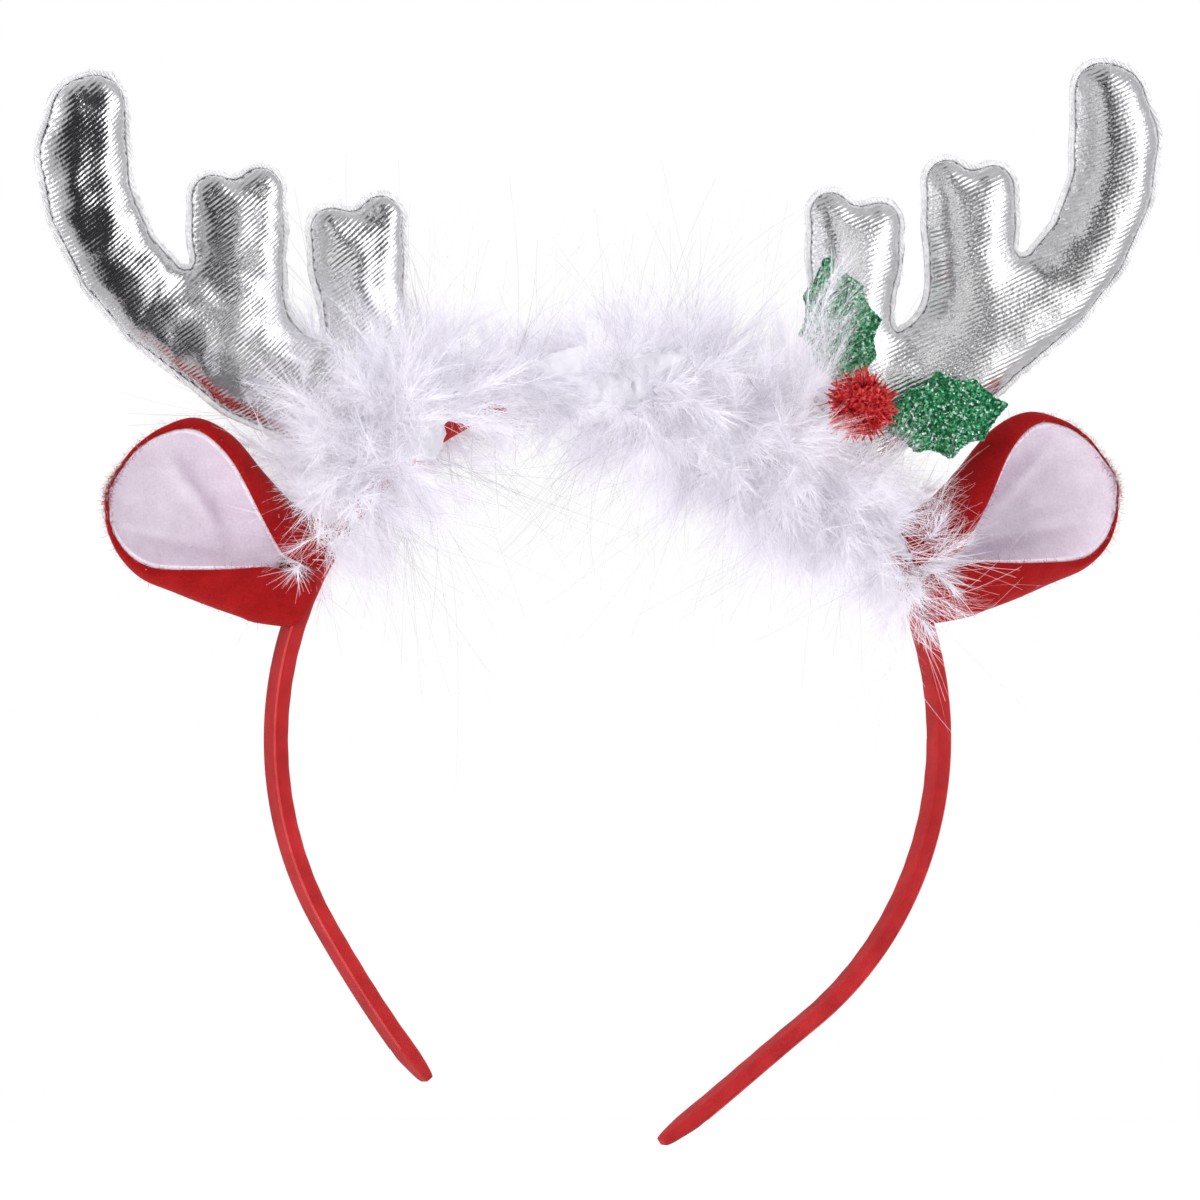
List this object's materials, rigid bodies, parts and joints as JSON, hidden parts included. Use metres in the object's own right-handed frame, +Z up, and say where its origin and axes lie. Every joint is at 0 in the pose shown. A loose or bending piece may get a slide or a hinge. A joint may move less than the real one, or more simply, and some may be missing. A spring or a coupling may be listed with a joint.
{
  "type": "reindeer ears headband",
  "caption": "Springy satin-covered headband with padded silver antlers, folded felt ears, a feather boa, glitter holly leaves and a tinsel berry.",
  "frame": {"origin": "on the band's inner face, under the middle of the trim, where the band sits on the crown of the head", "axes": "+Z up as worn, the front faces -Y, +X to the right seen from the front"},
  "size_m": [0.2411, 0.0545, 0.2192],
  "materials": {
    "satin": "red satin",
    "foil": "silver foil cloth",
    "felt": "red felt",
    "plush": "pale pink felt",
    "feather": "white marabou feathers",
    "glitter": "green glitter foam",
    "tinsel": "red tinsel"
  },
  "bodies": {
    "root": {"band": "satin", "antler_right": "foil", "antler_left": "foil", "ear_felt_right": "felt", "ear_felt_left": "felt", "ear_lining_right": "plush", "ear_lining_left": "plush", "feather_boa": "feather", "holly_leaf_upper": "glitter", "holly_leaf_lower": "glitter", "berry": "tinsel"}
  },
  "joints": []
}
